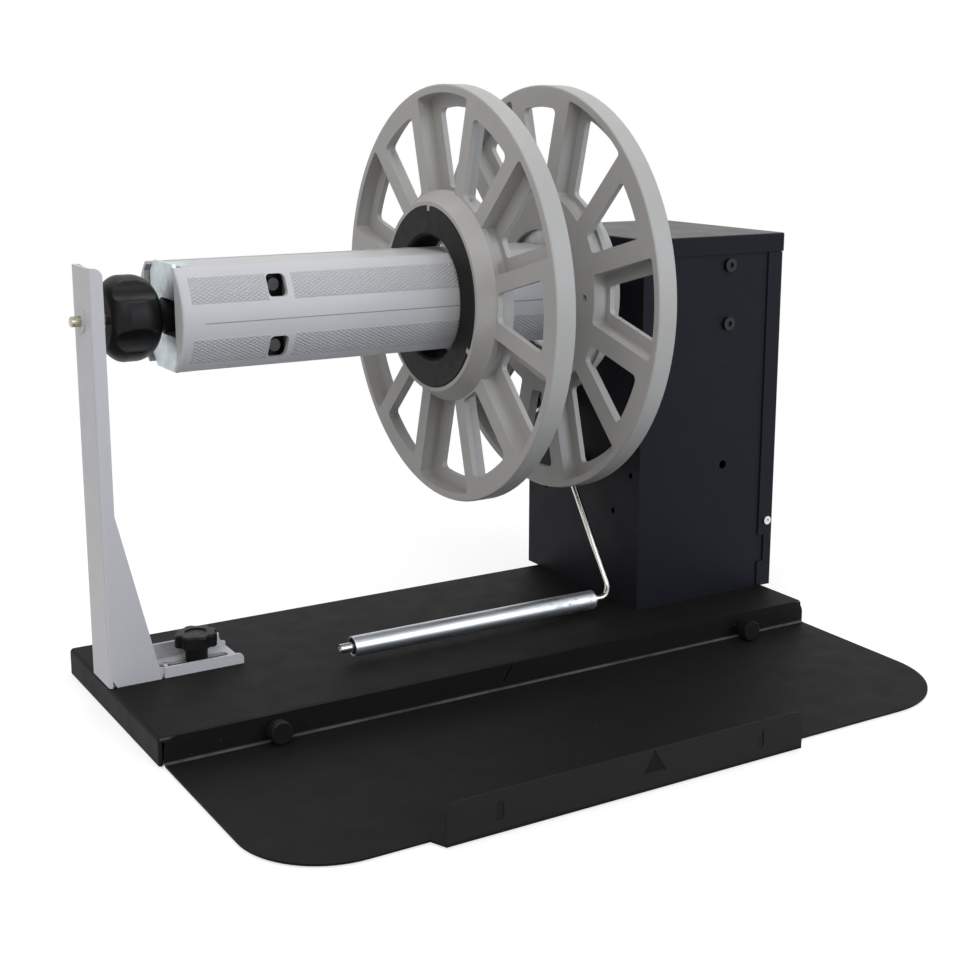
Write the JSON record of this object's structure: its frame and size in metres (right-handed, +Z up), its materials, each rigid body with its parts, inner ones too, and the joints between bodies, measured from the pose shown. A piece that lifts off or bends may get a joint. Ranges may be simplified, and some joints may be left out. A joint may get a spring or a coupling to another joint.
{
  "type": "manual label rewinder",
  "caption": "Hand cranked label rewinder: flanged roll on an expanding core chuck, tall black housing, support arm, dancer roller and shelf.",
  "frame": {"origin": "on the bench, under the middle of the whole object's bounding box", "axes": "+X along the spindle from the support arm to the housing, +Y to the back, +Z up"},
  "size_m": [0.5498, 0.3856, 0.3559],
  "materials": {
    "black_powder_coat": "satin black powder coat, fine texture",
    "white_powder_coat": "smooth pale grey-white powder coat",
    "channel_coat": "smooth pale grey paint on folded steel",
    "crank_coat": "satin black powder coat",
    "flange_plastic": "moulded warm grey plastic, satin",
    "shell_plastic": "moulded pale grey plastic with knurled bands",
    "black_plastic": "moulded black plastic",
    "zinc_plate": "bluish zinc plate",
    "yellow_zinc": "yellow passivated zinc on steel",
    "nickel_rod": "drawn, nickel plated",
    "turned_steel": "turned bright steel",
    "roller_aluminium": "turned aluminium with scuffs",
    "block_aluminium": "milled",
    "cast_housing": "painted casting",
    "bright_screw": "bright zinc",
    "dark_screw": "black oxide",
    "grey_felt": "pressed felt",
    "black_rubber": "moulded rubber"
  },
  "bodies": {
    "base": {"base_pan": "black_powder_coat", "rubber_feet": "black_rubber", "foot_screws": "bright_screw", "clamp_nut": "turned_steel", "guide_pin": "turned_steel", "thumbscrew_inserts": "turned_steel", "shelf_plate": "black_powder_coat", "housing_shell": "black_powder_coat", "housing_right_cover": "black_powder_coat", "housing_cap": "black_powder_coat", "cover_screws": "bright_screw", "housing_base_screws": "bright_screw", "bearing_bridge": "zinc_plate", "bridge_screws": "dark_screw", "wall_plate": "zinc_plate", "bearing_housings": "cast_housing", "bearing_screws": "dark_screw", "bearing_outer_races": "turned_steel", "bearing_balls": "turned_steel", "brake_felt": "grey_felt", "dancer_pivot_bolt": "dark_screw", "dancer_stop": "black_rubber"},
    "spindle": {"spindle_shaft": "turned_steel", "spindle_spacer": "turned_steel", "bearing_inner_races": "turned_steel", "brake_disc": "turned_steel", "brake_spring": "turned_steel", "brake_nut": "turned_steel", "spindle_hub_block": "block_aluminium", "chuck_channel": "channel_coat", "chuck_end_plate": "zinc_plate", "screw_support": "block_aluminium", "shell_guide_screws": "bright_screw", "flange_hub": "block_aluminium", "flange_hub_screws": "dark_screw", "inner_flange": "flange_plastic", "inner_flange_ring": "black_plastic", "crank_arm": "crank_coat", "crank_bolt": "dark_screw", "grip_axle": "turned_steel"},
    "grip": {"crank_grip": "black_plastic"},
    "chuck_screw": {"drawscrew": "yellow_zinc", "chuck_knob": "black_plastic", "knob_neck": "black_plastic"},
    "wedges": {"wedge_nuts": "block_aluminium"},
    "front_shell": {"chuck_shell_front": "shell_plastic"},
    "back_shell": {"chuck_shell_back": "shell_plastic"},
    "outer_flange": {"outer_flange": "flange_plastic", "outer_flange_ring": "black_plastic"},
    "support_arm": {"support_arm": "white_powder_coat", "arm_bush": "white_powder_coat"},
    "arm_clamp": {"clamp_knob": "black_plastic", "clamp_stud": "turned_steel"},
    "shelf_screw_left": {"thumbscrew_left": "black_plastic"},
    "shelf_screw_right": {"thumbscrew_right": "black_plastic"},
    "dancer": {"dancer_rod": "nickel_rod", "dancer_hub": "turned_steel", "roller_collars": "turned_steel"},
    "roller": {"dancer_roller": "roller_aluminium", "roller_bushes": "black_plastic"}
  },
  "joints": [
    {"name": "spindle_turn", "type": "hinge", "parent": "base", "child": "spindle", "pos_m": [0, 0.06285, 0.2259], "axis": [1, 0, 0], "continuous": true},
    {"name": "grip_spin", "type": "hinge", "parent": "spindle", "child": "grip", "pos_m": [0.225, 0.12785, 0.2259], "axis": [1, 0, 0], "continuous": true},
    {"name": "knob_turn", "type": "hinge", "parent": "spindle", "child": "chuck_screw", "pos_m": [-0.24, 0.06285, 0.2259], "axis": [1, 0, 0], "range_deg": [0, 360]},
    {"name": "wedge_slide", "type": "slide", "parent": "spindle", "child": "wedges", "axis": [-1, 0, 0], "range_m": [0, 0.003]},
    {"name": "front_shell_slide", "type": "slide", "parent": "spindle", "child": "front_shell", "axis": [0, -1, 0], "range_m": [0, 0.00062]},
    {"name": "back_shell_slide", "type": "slide", "parent": "spindle", "child": "back_shell", "axis": [0, 1, 0], "range_m": [0, 0.00062]},
    {"name": "outer_flange_slide", "type": "slide", "parent": "spindle", "child": "outer_flange", "axis": [1, 0, 0], "range_m": [-0.15, 0.038]},
    {"name": "arm_slide", "type": "slide", "parent": "base", "child": "support_arm", "axis": [-1, 0, 0], "range_m": [0, 0.016]},
    {"name": "arm_clamp_turn", "type": "hinge", "parent": "base", "child": "arm_clamp", "pos_m": [-0.21065, 0.06155, 0.03], "axis": [0, 0, 1], "range_deg": [0, 360]},
    {"name": "shelf_screw_left_turn", "type": "hinge", "parent": "base", "child": "shelf_screw_left", "pos_m": [-0.20275, -0.03685, 0.009], "axis": [0, -1, 0], "range_deg": [0, 360]},
    {"name": "shelf_screw_right_turn", "type": "hinge", "parent": "base", "child": "shelf_screw_right", "pos_m": [0.12575, -0.03685, 0.009], "axis": [0, -1, 0], "range_deg": [0, 360]},
    {"name": "dancer_swing", "type": "hinge", "parent": "base", "child": "dancer", "pos_m": [0.06025, 0.09885, 0.145], "axis": [1, 0, 0], "range_deg": [-40, 0]},
    {"name": "roller_spin", "type": "hinge", "parent": "dancer", "child": "roller", "pos_m": [-0.04275, 0.01575, 0.0256], "axis": [1, 0, 0], "continuous": true}
  ],
  "couplings": [
    {"joint": "wedge_slide", "follows": "knob_turn", "m_per_rad": 0.00047746},
    {"joint": "front_shell_slide", "follows": "knob_turn", "m_per_rad": 0.000095493},
    {"joint": "back_shell_slide", "follows": "knob_turn", "m_per_rad": 0.000095493}
  ]
}
